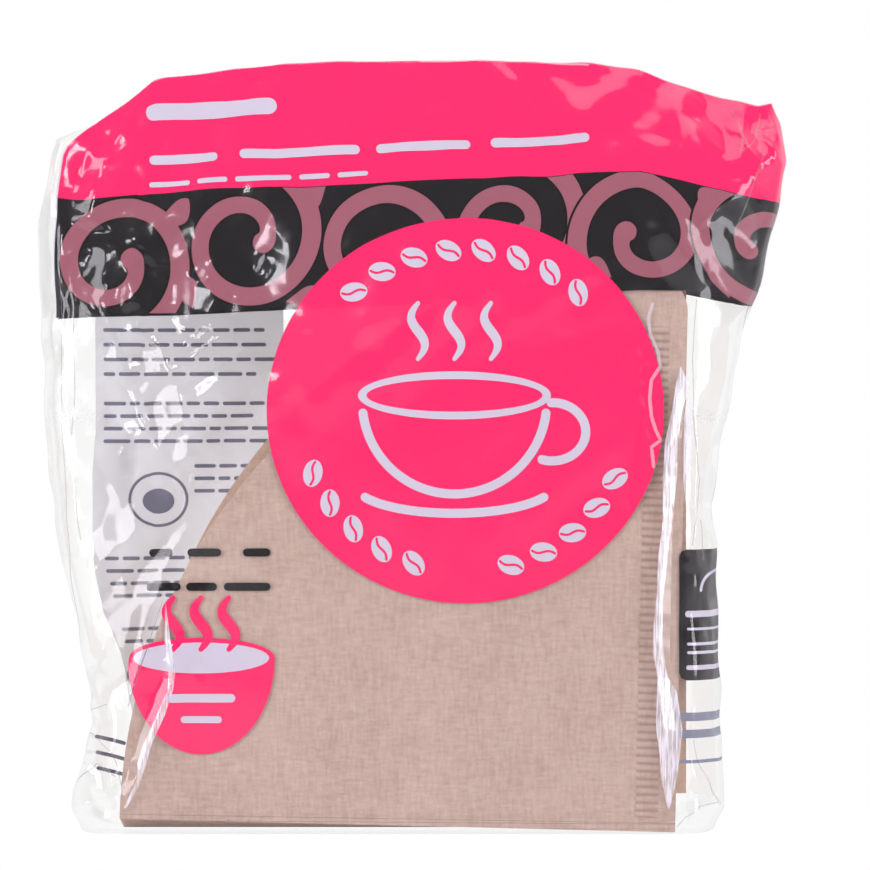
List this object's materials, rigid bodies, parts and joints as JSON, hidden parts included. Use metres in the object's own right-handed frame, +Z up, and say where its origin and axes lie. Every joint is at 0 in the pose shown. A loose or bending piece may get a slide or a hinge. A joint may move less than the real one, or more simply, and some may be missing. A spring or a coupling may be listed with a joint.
{
  "type": "pack of paper coffee filters",
  "caption": "Clear printed film pack, sealed and standing on its folded base, that holds two nested bundles of folded cone paper coffee filters with crimped seams.",
  "frame": {"origin": "middle of the underside that the pack stands on, below the centre of its outer box", "axes": "+X to the seam side of the filters as seen from the front, +Y from front to back, +Z up to the folded top"},
  "size_m": [0.1772, 0.0393, 0.1823],
  "materials": {
    "clear_film": "gloss",
    "filter_paper": "matte",
    "pink_ink": "gloss",
    "black_ink": "gloss",
    "scroll_ink": "gloss",
    "pale_ink": "gloss",
    "white_ink": "gloss",
    "grey_ink": "gloss"
  },
  "bodies": {
    "root": {"bag": "clear_film", "front_filter": "filter_paper", "front_bundle": "filter_paper", "rear_bundle": "filter_paper", "back_filter": "filter_paper"}
  },
  "joints": []
}
